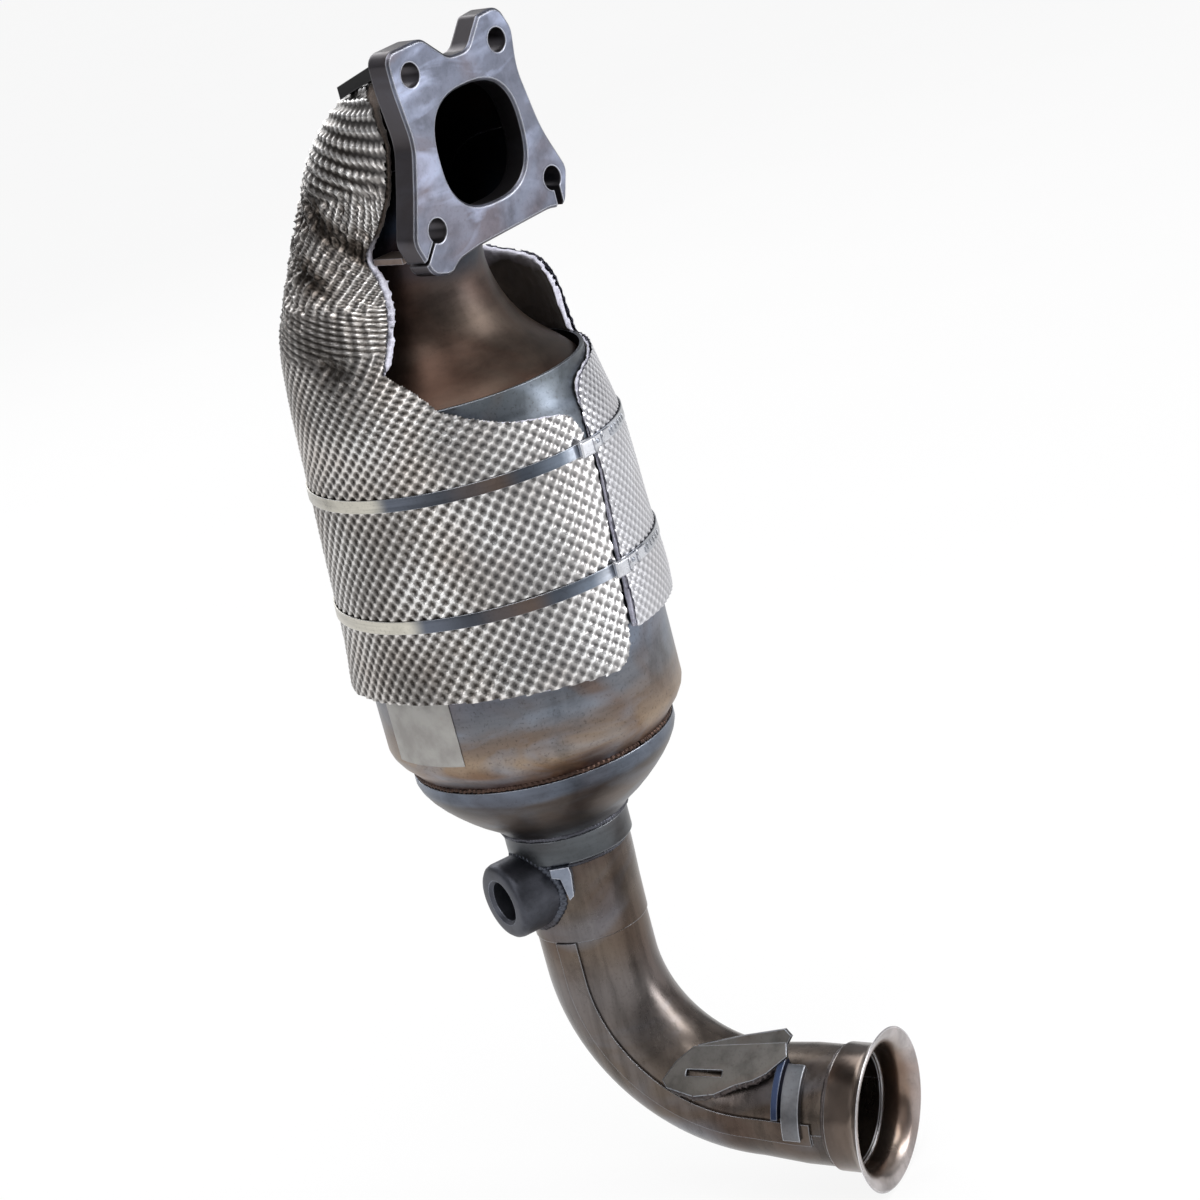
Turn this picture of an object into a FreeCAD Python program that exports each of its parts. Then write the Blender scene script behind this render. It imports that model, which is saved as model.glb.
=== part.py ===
import FreeCAD, Part
import math
import os

# Close-coupled catalytic converter with inlet elbow, wrapped heat shield and
# downpipe.  Millimetres.  Origin: centre of the inlet port on the sealing
# face.  -Y leaves the sealing face, +Z runs up the can axis, +X to the right.

V = FreeCAD.Vector

# ---- inlet flange ---------------------------------------------------------
FLANGE_T = 10.0          # plate thickness, from the sealing face back
PORT_HALF = 21.7         # half width of the rounded square port
PORT_POWER = 2.6         # superellipse exponent of the port
PORT_CHAMFER = 1.0
STUD_UPPER_Z = 32.7      # height of the upper pair of stud holes
STUD_LOWER_Z = -23.0     # height of the lower pair
STUD_UPPER_X = (-25.9, 20.4)
STUD_LOWER_X = (-32.5, 30.6)
STUD_R = 4.6
EDGE_CHAMFER = 1.0

# ---- can and its contents -------------------------------------------------
CAN_Y = 52.0             # can axis stands this far behind the sealing face
CAN_R = 59.8
WALL = 1.5
CAN_TOP = -88.8
CAN_TOP_R = 54.6         # the upper end is necked too, round the elbow
CAN_NECK_TOP = -228.0    # straight wall ends, neck starts
CAN_BOTTOM = -245.0
CONE_RIM_R = 53.0        # outlet cone laps outside the necked can end
BRICK_R = 53.4
BRICK_UPPER = (-164.0, -107.0)
BRICK_LOWER = (-225.0, -171.0)
MAT_MARGIN = 2.0         # mat stops short of each brick face

# ---- inlet elbow: fan of sections from the flange to the can --------------
# inner point (y, z), outer point (y, z), half width in x, exponent
ELBOW_FAN = (
    ((10.0, -25.0), (10.0, 25.0), 25.0, 2.6),
    ((16.0, -29.5), (28.0, 26.0), 25.0, 2.5),
    ((21.0, -36.0), (51.0, 22.0), 24.5, 2.4),
    ((24.5, -44.0), (73.0, 0.0), 25.0, 2.2),
    ((25.8, -53.0), (88.0, -28.0), 27.5, 2.1),
    ((22.5, -64.5), (95.0, -53.0), 31.5, 2.0),
    ((14.5, -77.0), (101.0, -74.0), 38.5, 2.0),
    ((4.5, -86.0), (104.0, -86.0), 46.5, 2.0),
    ((-0.8, -93.5), (104.8, -93.5), 52.8, 2.0),
)
ELBOW_WALL = 1.8

# ---- heat shield: fan of outer sections, same convention ------------------
SHIELD_FAN = (
    ((8.0, -31.5), (8.0, 33.5), 31.0, 3.2),
    ((13.0, -35.0), (30.0, 33.0), 31.5, 3.1),
    ((17.0, -41.0), (56.5, 24.0), 34.0, 2.6),
    ((18.0, -48.0), (83.0, -3.0), 40.5, 2.2),
    ((13.0, -54.0), (98.5, -32.0), 48.5, 2.0),
    ((2.0, -66.0), (107.8, -55.0), 56.8, 2.0),
    ((-5.5, -82.0), (111.4, -76.0), 60.2, 2.0),
    ((-9.4, -100.0), (113.4, -98.0), 61.6, 2.0),
    ((-10.3, -119.0), (114.3, -119.0), 62.3, 2.0),
    ((-11.5, -143.0), (115.5, -143.0), 63.5, 2.0),
    ((-12.5, -167.0), (116.5, -167.0), 64.5, 2.0),
    ((-13.2, -186.0), (117.8, -186.0), 65.6, 2.0),
    ((-13.8, -206.0), (120.0, -206.0), 67.0, 2.0),
)
RIGHT_SHOULDER = (       # the right blanket hugs the necked can more closely
    ((13.0, -54.0), (98.5, -32.0), 50.0, 2.0),
    ((3.0, -66.0), (107.8, -55.0), 56.0, 2.0),
    ((-3.0, -82.0), (111.4, -76.0), 57.2, 2.0),
    ((-7.0, -100.0), (113.4, -98.0), 59.6, 2.0),
)
RIGHT_FAN = SHIELD_FAN[:4] + RIGHT_SHOULDER + SHIELD_FAN[8:]
FOIL_T = 0.5
BLANKET_T = 4.8
SEAM_REAR_LEFT = 148.0   # azimuths of the two edges at the rear seam
SEAM_REAR_RIGHT = 146.0
LEFT_BOTTOM = -205.8     # height of the left blanket's lower edge at x = 0
LEFT_BOTTOM_TILT = 6.5   # degrees, rising to the left
RIGHT_BOTTOM = -193.0

# ---- straps ---------------------------------------------------------------
STRAP_UPPER_Z = -119.0
STRAP_LOWER_Z = -167.0
STRAP_W = 5.0
STRAP_T = 0.5

# ---- outlet cone, neck, boss ---------------------------------------------
NECK_R = 24.0            # cone neck and tube top, both inside the collar
COLLAR_R = 25.4
COLLAR_TOP = -275.0
COLLAR_BOTTOM = -287.0
NECK_JOINT = -283.5
TUBE_END = -321.5
TUBE_END_R = 23.2
BOSS_Z = -298.5
BOSS_AZ = -105.0
BOSS_R = 15.8
BOSS_FACE = 37.0
BOSS_BORE_R = 8.2        # tapping size of M18 x 1.5
BOSS_RELIEF_R = 9.6      # relief under the thread, same size as the tube's hole
BOSS_RELIEF = 24.6       # the relief ends this far from the tube's axis

# ---- downpipe elbow -------------------------------------------------------
PIPE_R = 22.7
PIPE_END_R = 24.2
BEND_TOP = -338.5
BEND_R = 65.9
BEND_ANGLE = 85.2
BEND_AZ = 14.45
LAP_T = 1.2
LAP_HALF = 11.0          # half angle of the seam lap
STRAIGHT = 51.75         # from the end of the bend to the flare face
SLEEVE_START = 34.0
PIPE_STOP = 38.0
FLARE_R = 32.9
FLARE_WALL = 1.4
FLARE_BORE_R = 24.6      # bore of the sleeve in front of the pipe's end
GROOVE_R = 24.9          # relief groove between that bore and the pipe's end
GROOVE_START = 38.6
LIP_LEAN = 32.0          # outward lean of the bracket lip from its plate


def polar(r, azimuth, z):
    """Point at a radius and azimuth round the can axis, 0 deg facing -Y."""
    a = math.radians(azimuth)
    return V(r * math.sin(a), CAN_Y - r * math.cos(a), z)


def power_cos(t, n):
    """Superellipse coordinate: the cosine raised to 2/n, sign kept."""
    c = math.cos(t)
    return math.copysign(abs(c) ** (2.0 / n), c)


def spline(points, closed=False):
    """Edge through the points."""
    curve = Part.BSplineCurve()
    curve.interpolate(points, PeriodicFlag=closed)
    return curve.toShape()


def fan_points(section, inset, start, stop, count):
    """Points on one fan section between two angles; 0 deg is the outer point."""
    inner, outer, half_w, n = section
    mid = V(0, (inner[0] + outer[0]) / 2, (inner[1] + outer[1]) / 2)
    axis = V(0, outer[0] - inner[0], outer[1] - inner[1])
    half_h = axis.Length / 2 - inset
    axis.normalize()
    points = []
    for i in range(count):
        t = math.radians(start + (stop - start) * i / (count - 1))
        across = (half_w - inset) * power_cos(t - math.pi / 2, n)
        along = half_h * power_cos(t, n)
        points.append(mid + axis * along + V(across, 0, 0))
    return points


def fan_solid(fan, inset):
    """Closed smooth solid through every section of a fan."""
    wires = []
    for section in fan:
        points = fan_points(section, inset, 0, 360, 29)[:-1]
        wires.append(Part.Wire([spline(points, closed=True)]))
    return Part.makeLoft(wires, True, False)


def fan_half(fan, start, stop, wall):
    """Half shell of a fan: the wall between two angles of every section."""
    wires = []
    for section in fan:
        outer = fan_points(section, 0.0, start, stop, 15)
        inner = fan_points(section, wall, stop, start, 15)
        edges = [spline(outer)]
        edges.append(Part.makeLine(outer[-1], inner[0]))
        edges.append(spline(inner))
        edges.append(Part.makeLine(inner[-1], outer[0]))
        wires.append(Part.Wire(edges))
    return Part.makeLoft(wires, True, False)


def turned(profile, base=None, axis=None, radial=None, start=0.0, sweep=360.0):
    """Solid of revolution from (radius, distance along the axis) pairs."""
    base = base or V(0, CAN_Y, 0)
    axis = axis or V(0, 0, 1)
    radial = radial or V(0, -1, 0)
    radial = FreeCAD.Rotation(axis, start).multVec(radial)
    points = [base + radial * r + axis * h for r, h in profile]
    face = Part.Face(Part.makePolygon(points + points[:1]))
    return face.revolve(base, axis, sweep)


def rounded_outline(corners, y):
    """Closed wire in a plane of constant y; corners are (x, z, radius)."""
    count = len(corners)
    edges = []
    last = None
    first = None
    for i in range(count):
        x, z, r = corners[i]
        here = V(x, y, z)
        before = V(corners[i - 1][0], y, corners[i - 1][1])
        after = V(corners[(i + 1) % count][0], y, corners[(i + 1) % count][1])
        to_before = (before - here).normalize()
        to_after = (after - here).normalize()
        half = to_before.getAngle(to_after) / 2
        trim = r / math.tan(half)
        middle = (to_before + to_after).normalize()
        centre = here + middle * (r / math.sin(half))
        start = here + to_before * trim
        stop = here + to_after * trim
        bulge = centre - middle * r
        if last is not None:
            edges.append(Part.makeLine(last, start))
        else:
            first = start
        edges.append(Part.Arc(start, bulge, stop).toShape())
        last = stop
    edges.append(Part.makeLine(last, first))
    return Part.Wire(edges)


def prism(points, direction):
    """Solid from a closed polygon pushed along a direction."""
    return Part.Face(Part.makePolygon(points + points[:1])).extrude(direction)


def wedge(start, stop, low, high):
    """Pie slice round the can axis between two azimuths and two heights."""
    slice_ = Part.makeCylinder(150, high - low, V(0, 0, low), V(0, 0, 1), stop - start)
    slice_.rotate(V(0, 0, 0), V(0, 0, 1), start - 90)
    slice_.translate(V(0, CAN_Y, 0))
    return slice_


# ---- inlet flange ---------------------------------------------------------

def inlet_flange():
    """Machined four-ear plate: rounded square port, four stud holes."""
    outline = (
        (-35.4, 42.8, 5.0), (-16.0, 43.6, 7.0), (-5.0, 33.6, 7.0), (5.0, 33.4, 7.0),
        (14.0, 43.6, 3.0), (25.4, 44.8, 7.0), (29.9, 34.5, 8.0), (27.6, 20.0, 30.0),
        (32.2, -4.0, 60.0), (40.0, -21.5, 6.0), (34.6, -35.0, 4.5), (26.0, -33.4, 20.0),
        (-14.0, -35.0, 14.0), (-25.0, -36.6, 10.0), (-30.5, -40.4, 6.0), (-39.6, -37.8, 6.0),
        (-44.8, -24.5, 8.0), (-38.8, -8.5, 20.0), (-33.0, 9.0, 25.0), (-35.5, 30.0, 50.0),
    )
    plate = Part.Face(rounded_outline(outline, 0)).extrude(V(0, FLANGE_T, 0))
    rim = [e for e in plate.Edges if abs(e.BoundBox.YMax) < 1e-6]
    plate = plate.makeChamfer(EDGE_CHAMFER, rim)
    port = []
    for inset in (-PORT_CHAMFER, 0.0):
        section = ((0, -PORT_HALF), (0, PORT_HALF), PORT_HALF, PORT_POWER)
        points = fan_points(section, inset, 0, 360, 29)[:-1]
        port.append(Part.Wire([spline(points, closed=True)]))
    port[1].translate(V(0, PORT_CHAMFER, 0))
    mouth = Part.makeLoft(port, True, True)
    plate = plate.cut(mouth)
    throat = Part.Face(port[1]).extrude(V(0, FLANGE_T, 0))
    plate = plate.cut(throat)
    for z, pair in ((STUD_UPPER_Z, STUD_UPPER_X), (STUD_LOWER_Z, STUD_LOWER_X)):
        for x in pair:
            hole = Part.makeCylinder(STUD_R, FLANGE_T + 2, V(x, -1, z), V(0, 1, 0))
            plate = plate.cut(hole)
    return plate.cut(ear_slits())


def ear_slits():
    """Saw slits that open the two lower stud holes to the plate's edge."""
    left = Part.makeBox(1.4, FLANGE_T + 2, 20, V(-0.7, -1, -20))
    left.rotate(V(0, 0, 0), V(0, 1, 0), 42)
    left.translate(V(STUD_LOWER_X[0], 0, STUD_LOWER_Z))
    right = Part.makeBox(3.4, FLANGE_T + 2, 20, V(STUD_LOWER_X[1] - 0.6, -1, STUD_LOWER_Z - 20))
    return Part.makeCompound([left, right])


# ---- inlet elbow ----------------------------------------------------------

def inlet_front_shell():
    """Pressed half on the inside of the bend, flaring into the can."""
    return fan_half(ELBOW_FAN, 90, 270, ELBOW_WALL)


def inlet_rear_shell():
    """Pressed half on the outside of the bend."""
    return fan_half(ELBOW_FAN, -90, 90, ELBOW_WALL)


# ---- can ------------------------------------------------------------------

def can_outline():
    """Outer (radius, height) line of the rolled can with its necked ends."""
    neck_r = CONE_RIM_R - WALL
    line = [(CAN_TOP_R, CAN_TOP), (CAN_TOP_R, CAN_TOP - 9.7), (CAN_TOP_R + 1.6, CAN_TOP - 13.2)]
    line += [(CAN_R - 1.2, CAN_TOP - 16.7), (CAN_R, CAN_TOP - 20.2), (CAN_R, CAN_NECK_TOP)]
    line += [(CAN_R - 0.7, CAN_NECK_TOP - 2.4), (CAN_R - 2.6, CAN_NECK_TOP - 5.6)]
    return line + [(neck_r + 1.4, CAN_NECK_TOP - 10.4), (neck_r, CAN_NECK_TOP - 13.0), (neck_r, CAN_BOTTOM)]


def can_shell():
    """Rolled can, necked at both ends."""
    outer = can_outline()
    inner = [(r - WALL, z) for r, z in reversed(outer)]
    return turned(outer + inner)


def brick(span):
    """Ceramic honeycomb monolith."""
    return Part.makeCylinder(BRICK_R, span[1] - span[0], V(0, CAN_Y, span[0]))


def support_mat(span):
    """Fibre mat packed between a brick and the can."""
    low = span[0] + MAT_MARGIN
    high = span[1] - MAT_MARGIN
    return turned([(BRICK_R, low), (CAN_R - WALL, low), (CAN_R - WALL, high), (BRICK_R, high)])


def outlet_cone():
    """Domed outlet cone: rim outside the can, neck inside the collar."""
    profile = [
        (CONE_RIM_R, -241.5), (CONE_RIM_R, -245.0), (52.0, -247.8), (49.9, -251.4), (47.0, -255.2),
        (43.5, -259.0), (39.8, -262.6), (35.9, -266.0), (31.6, -269.2), (27.8, -272.2),
        (25.2, -275.6), (NECK_R, -279.0), (NECK_R, NECK_JOINT),
    ]
    inner = []
    for i, (r, z) in enumerate(profile):
        r0, z0 = profile[max(i - 1, 0)]
        r1, z1 = profile[min(i + 1, len(profile) - 1)]
        run = math.hypot(r1 - r0, z1 - z0)
        inner.append((r + WALL * (z1 - z0) / run, z - WALL * (r1 - r0) / run))
    inner[1] = (CONE_RIM_R - WALL, CAN_BOTTOM)
    return turned(profile + inner[::-1])


def can_envelope():
    """Solid filling the can's outside, used to trim what fits over it."""
    return turned([(0, CAN_TOP)] + can_outline() + [(0, CAN_BOTTOM)])


def neck_collar():
    """Short sleeve over the joint of the cone neck and the downpipe."""
    outer = [(NECK_R + 0.6, COLLAR_TOP), (COLLAR_R, COLLAR_TOP - 1.2)]
    outer += [(COLLAR_R, COLLAR_BOTTOM + 0.8), (COLLAR_R - 0.8, COLLAR_BOTTOM)]
    ring = turned(outer + [(NECK_R, COLLAR_BOTTOM), (NECK_R, COLLAR_TOP)])
    return biggest(ring.cut(outlet_cone()))


# ---- downpipe -------------------------------------------------------------

def boss_axis():
    """Unit vector along the sensor boss, away from the pipe."""
    return (polar(1, BOSS_AZ, 0) - V(0, CAN_Y, 0)).normalize()


def boss_hole(radius, reach):
    """Cylinder on the boss axis from the tube axis outward."""
    return Part.makeCylinder(radius, reach, V(0, CAN_Y, BOSS_Z), boss_axis())


def tube_profile():
    """Outer (radius, height) line of the tapered tube below the collar."""
    return [(NECK_R, NECK_JOINT), (NECK_R, -292.0), (23.8, -298.0), (23.4, -308.0), (TUBE_END_R, TUBE_END)]


def downpipe_neck():
    """Tapered tube that carries the sensor boss."""
    outer = tube_profile()
    inner = [(r - WALL, z) for r, z in reversed(outer)]
    return turned(outer + inner).cut(boss_hole(BOSS_RELIEF_R, 60))


def sensor_boss():
    """Turned threaded boss saddled on the tube, with a rounded lip."""
    axis = boss_axis()
    base = V(0, CAN_Y, BOSS_Z)
    side = V(0, 0, 1)
    lip = 3.0
    profile = [(0, 15.0), (BOSS_R, 15.0), (BOSS_R, BOSS_FACE - lip)]
    for step in (30, 60, 90):
        a = math.radians(step)
        profile.append((BOSS_R - lip + lip * math.cos(a), BOSS_FACE - lip + lip * math.sin(a)))
    profile += [(BOSS_BORE_R + 1.4, BOSS_FACE), (BOSS_BORE_R, BOSS_FACE - 1.4), (0, BOSS_FACE - 1.4)]
    body = turned(profile, base, axis, side)
    filled = turned([(0, NECK_JOINT)] + tube_profile() + [(0, TUBE_END)])
    bore = boss_hole(BOSS_BORE_R, 60)
    relief = boss_hole(BOSS_RELIEF_R, BOSS_RELIEF)
    for trim in (filled, bore, relief, elbow_envelope(0.0), neck_collar()):
        body = body.cut(trim)
    return biggest(body)


def biggest(shape):
    """Largest solid of a shape."""
    return sorted(shape.Solids, key=lambda s: s.Volume)[-1]


def boss_gusset():
    """Pointed tab from the collar down beside the boss."""
    outline = [(-4.5, 0.0), (3.2, 0.0), (3.6, -3.0), (2.4, -12.5), (0.4, -14.0), (-1.2, -4.5), (-4.5, -3.6)]
    points = [V(x, CAN_Y - NECK_R - 3.4, COLLAR_BOTTOM + z) for x, z in outline]
    tab = prism(points, V(0, 3.6, 0))
    tab.rotate(V(0, CAN_Y, 0), V(0, 0, 1), -57)
    filled = turned([(0, NECK_JOINT)] + tube_profile() + [(0, TUBE_END)])
    for trim in (filled, sensor_boss()):
        tab = tab.cut(trim)
    return biggest(tab)


def bend_frame():
    """Arc centre, arc end, end direction, up and side vectors of the bend."""
    a = math.radians(BEND_AZ)
    p = math.radians(BEND_ANGLE)
    forward = V(math.sin(a), -math.cos(a), 0)
    centre = V(0, CAN_Y, BEND_TOP) + forward * BEND_R
    end = centre - forward * (BEND_R * math.cos(p)) - V(0, 0, BEND_R * math.sin(p))
    heading = forward * math.sin(p) - V(0, 0, math.cos(p))
    up = (centre - end).normalize()
    return centre, end, heading, up, heading.cross(up)


def ring_sector(r_in, r_out, start, stop, z):
    """Flat ring sector round the pipe; angles from the bend's forward side."""
    turn = FreeCAD.Rotation(V(0, 0, 1), BEND_AZ)
    rim = []
    for r in (r_out, r_in):
        arc = []
        for angle in (start, (start + stop) / 2, stop):
            a = math.radians(angle)
            arc.append(V(0, CAN_Y, z) + turn.multVec(V(r * math.sin(a), -r * math.cos(a), 0)))
        rim.append(arc)
    edges = [Part.Arc(*rim[0]).toShape(), Part.makeLine(rim[0][2], rim[1][2])]
    edges += [Part.Arc(*rim[1]).toShape(), Part.makeLine(rim[1][0], rim[0][0])]
    return Part.Face(Part.Wire(edges))


def pipe_strip(r_in, r_out, start, stop, reach):
    """Strip of pipe wall from the tube end, round the bend, to the outlet."""
    centre, end, heading, up, side = bend_frame()
    grow = PIPE_END_R - PIPE_R
    drop = ring_sector(r_in, r_out, start, stop, TUBE_END).extrude(V(0, 0, BEND_TOP - TUBE_END))
    arc = ring_sector(r_in, r_out, start, stop, BEND_TOP).revolve(centre, side, BEND_ANGLE)
    line = [(r_in, 0.0), (r_out, 0.0), (r_out + grow, 20.0), (r_out + grow, reach)]
    line += [(r_in + grow, reach), (r_in + grow, 20.0)]
    run = turned(line, end, heading, up, -start, start - stop)
    return drop.fuse(arc).fuse(run).removeSplitter()


def elbow_envelope(clearance):
    """Solid filling the outside of the downpipe elbow."""
    centre, end, heading, up, side = bend_frame()
    r = PIPE_R + clearance
    grow = PIPE_END_R - PIPE_R
    drop = Part.makeCylinder(r, TUBE_END - BEND_TOP, V(0, CAN_Y, BEND_TOP))
    disc = Part.Face(Part.Wire([Part.makeCircle(r, V(0, CAN_Y, BEND_TOP))]))
    arc = disc.revolve(centre, side, BEND_ANGLE)
    run = turned([(0, 0), (r, 0), (r + grow, 20), (r + grow, PIPE_STOP), (0, PIPE_STOP)], end, heading, up)
    return drop.fuse(arc).fuse(run)


def elbow_inner_shell():
    """Clamshell half on the inside of the bend."""
    return pipe_strip(PIPE_R - WALL, PIPE_R, -90, 90, PIPE_STOP)


def elbow_outer_shell():
    """Clamshell half on the outside of the bend, with a lap on each seam."""
    body = pipe_strip(PIPE_R - WALL, PIPE_R, 90, 270, PIPE_STOP)
    lap_end = SLEEVE_START - 6
    for middle in (90, 270):
        lap = pipe_strip(PIPE_R, PIPE_R + LAP_T, middle - LAP_HALF, middle + LAP_HALF, lap_end)
        body = body.fuse(lap)
    trimmed = body.removeSplitter().cut(sensor_boss())
    return biggest(trimmed)


def outlet_flare():
    """Sleeve over the pipe end that opens into a thin bell mouth."""
    centre, end, heading, up, side = bend_frame()
    r = PIPE_END_R
    t = FLARE_WALL
    outer = [(r + t - 0.5, SLEEVE_START), (r + t, SLEEVE_START + 0.6), (r + t, 44.5), (r + t + 0.6, 46.2)]
    outer += [(r + t + 2.0, 48.2), (r + t + 4.4, 49.9), (FLARE_R - 0.4, 51.0), (FLARE_R, STRAIGHT - 0.3)]
    inner = [(FLARE_R - 0.6, STRAIGHT), (r + 5.6, 51.2), (r + 2.8, 49.6), (r + 1.2, 47.2)]
    inner += [(FLARE_BORE_R, 44.8), (FLARE_BORE_R, GROOVE_START), (GROOVE_R, GROOVE_START)]
    inner += [(GROOVE_R, PIPE_STOP), (r, PIPE_STOP), (r, SLEEVE_START)]
    return turned(outer + inner, end, heading, up)


# ---- bracket on the downpipe ---------------------------------------------

def bracket_point(s, across, out, lean):
    """Point in bracket coordinates on a plane tangent to the pipe."""
    centre, end, heading, up, side = bend_frame()
    a = math.radians(lean)
    normal = side * math.cos(a) + up * math.sin(a)
    tangent = up * math.cos(a) - side * math.sin(a)
    return end + heading * s + tangent * across + normal * out


def tilted_out(s, thick):
    """Height of the bracket plate above the pipe axis, rising up the bend."""
    return 25.4 - 0.06 * (s - 15.0) + thick


def bracket_plate():
    """Stamped plate with a slot, its upper edge turned out as a lip."""
    outline = [
        (-24.0, 9.0), (14.5, 14.6), (16.0, 9.0), (9.0, 1.0), (4.0, -2.4), (-3.0, -5.2),
        (-11.0, -10.0), (-19.5, -11.8), (-31.5, -9.4), (-34.0, -6.4), (-30.0, 2.0),
    ]
    low = [bracket_point(s, t, tilted_out(s, 0), 50) for s, t in outline]
    origin = bracket_point(0, 0, 0, 50)
    lift = bracket_point(0, 0, 2.0, 50) - origin
    plate = prism(low, lift)
    lean = math.radians(LIP_LEAN)
    rise = bracket_point(0, math.cos(lean), math.sin(lean), 50) - origin
    back = bracket_point(0, math.sin(lean), -math.cos(lean), 50) - origin
    lip = []
    for s, height in ((-22.0, -0.8), (14.8, -0.8), (16.6, 2.5), (14.0, 5.5), (-4.0, 3.5), (-22.0, 0.5)):
        fold = bracket_point(s, 9.0 + 0.145 * (s + 24), tilted_out(s, 2.0), 50)
        lip.append(fold + rise * height)
    plate = plate.fuse(prism_ruled(lip, back * 2.0))
    slot = [(-24.6, -3.6), (-9.4, -2.4), (-9.4, 0.4), (-24.6, -0.8)]
    hole = [bracket_point(s, t, tilted_out(s, -6), 50) for s, t in slot]
    plate = plate.cut(prism(hole, lift * 6))
    return biggest(plate.cut(elbow_envelope(0.05)).cut(elbow_outer_shell()))


def prism_ruled(points, shift):
    """Solid between a nearly flat ring of points and its shifted copy."""
    shifted = [p + shift for p in points]
    shell = []
    for ring in (points, shifted[::-1]):
        for i in range(1, len(ring) - 1):
            shell.append(triangle(ring[0], ring[i], ring[i + 1]))
    for i in range(len(points)):
        j = (i + 1) % len(points)
        shell.append(triangle(points[i], points[j], shifted[j]))
        shell.append(triangle(points[i], shifted[j], shifted[i]))
    return Part.makeSolid(Part.makeShell(shell))


def triangle(a, b, c):
    """Flat three-cornered face."""
    return Part.Face(Part.makePolygon([a, b, c, a]))


def saddle_strip(start, stop, r_in, r_out, low, high):
    """Strip bent round the straight pipe between two lean angles."""
    centre, end, heading, up, side = bend_frame()
    return turned([(r_in, low), (r_out, low), (r_out, high), (r_in, high)], end, heading, side, -start, start - stop)


def bracket_leg():
    """Fin from the plate's outer corner down the side of the pipe."""
    fin = saddle_strip(14, 72, 23.0, 27.4, 12.6, 15.4)
    for trim in (elbow_envelope(0.0), elbow_outer_shell(), bracket_plate()):
        fin = fin.cut(trim)
    return biggest(fin)


def bracket_tab():
    """Flat saddle bar welded beside the fin."""
    bar = saddle_strip(-4, 64, 23.4, 27.0, 16.8, 24.2)
    for trim in (elbow_envelope(0.0), elbow_outer_shell(), bracket_plate()):
        bar = bar.cut(trim)
    return biggest(bar)


# ---- heat shield ----------------------------------------------------------

def left_keep(blanket):
    """Trim a full wrap to the left blanket with its hood over the elbow."""
    side = [
        (-90, 70), (31, 70), (31, 30), (22, 23), (18, 12), (17.6, 7.7), (20.6, -1.4), (24.2, -10.7),
        (30.8, -21.4), (36.2, -28.6), (37.2, -31.6), (34.9, -37.3), (31.6, -46.6), (28, -56.5),
        (27, -62.8), (27.6, -71.2), (-90, -71.2),
    ]
    far = [(-90, 70), (31, 70), (31, 30), (46, 14), (64, -8), (76, -30), (88, -48), (95, -57), (-90, -57)]
    front = [
        (0, -56), (0, -71.0), (-51.4, -71.2), (-50.4, -74), (-48.1, -78.5), (-44.1, -88), (-37.1, -93),
        (-28.8, -97.4), (-22, -99.8), (-12.1, -101.9), (-5.1, -103.2), (-1.6, -104.6), (0.6, -106.8),
        (2.9, -111), (4.9, -118), (5.3, -133), (1.6, -158), (-1.1, -188), (-4.4, -198),
        (-6.8, -201.6), (-11, -204), (-11, -260), (150, -260), (150, -56),
    ]
    floor = Part.makeBox(400, 400, 80, V(-200, -200, -80))
    floor.rotate(V(0, 0, 0), V(0, 1, 0), LEFT_BOTTOM_TILT)
    floor.translate(V(0, 0, LEFT_BOTTOM))
    cuts = [prism([V(-90, y, z) for y, z in side], V(90, 0, 0))]
    cuts.append(prism([V(0, y, z) for y, z in far], V(90, 0, 0)))
    cuts.append(prism([V(x, -90, z) for x, z in front], V(0, 90 + CAN_Y, 0)))
    cuts.append(wedge(30.0, SEAM_REAR_LEFT, -260, -57))
    for cutter in cuts + [floor]:
        blanket = blanket.cut(cutter)
    return biggest(blanket)


def right_keep(blanket):
    """Trim a full wrap to the right blanket with its open collar."""
    side = [
        (29.5, -88), (29.5, -74), (30.4, -67), (32.6, -62), (36.4, -59), (41, -58), (53, -56.6),
        (60.5, -55.4), (66, -53.4), (88, -53.4), (93, -57), (150, -57), (150, 80), (29.5, 80),
    ]
    front = [
        (-150, -260), (3.0, -260), (3.0, -192), (4.6, -160), (7.6, -133), (7.4, -118), (7.0, -110),
        (8.4, -104), (11.4, -99), (16.0, -95), (22.3, -93.4), (34, -92), (48, -90),
        (90, -89), (90, 80), (-150, 80),
    ]
    blanket = blanket.common(wedge(-30.0, SEAM_REAR_RIGHT, RIGHT_BOTTOM, 60))
    blanket = blanket.cut(prism([V(-90, y, z) for y, z in side], V(180, 0, 0)))
    blanket = blanket.cut(prism([V(x, -90, z) for x, z in front], V(0, 90 + 29.5, 0)))
    return biggest(blanket)


def shield_layers(fan):
    """Full wraps of the foil and of the fibre under it, and all they enclose."""
    outside = fan_solid(fan, 0.0)
    under = fan_solid(fan, FOIL_T)
    inside = fan_solid(fan, BLANKET_T)
    foil = outside.cut(under)
    fibre = under.cut(inside)
    fibre = fibre.cut(can_envelope()).cut(fan_solid(ELBOW_FAN, 0.0))
    return foil, fibre, outside


def strap(z, outside):
    """Stainless band round both blankets."""
    r = CAN_R + 1.0
    low = z - STRAP_W / 2
    high = z + STRAP_W / 2
    top = 62.3 + 0.046 * (STRAP_UPPER_Z - z) + STRAP_T
    return turned([(r, low), (top + 0.12, low), (top - 0.12, high), (r, high)]).cut(outside)


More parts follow.
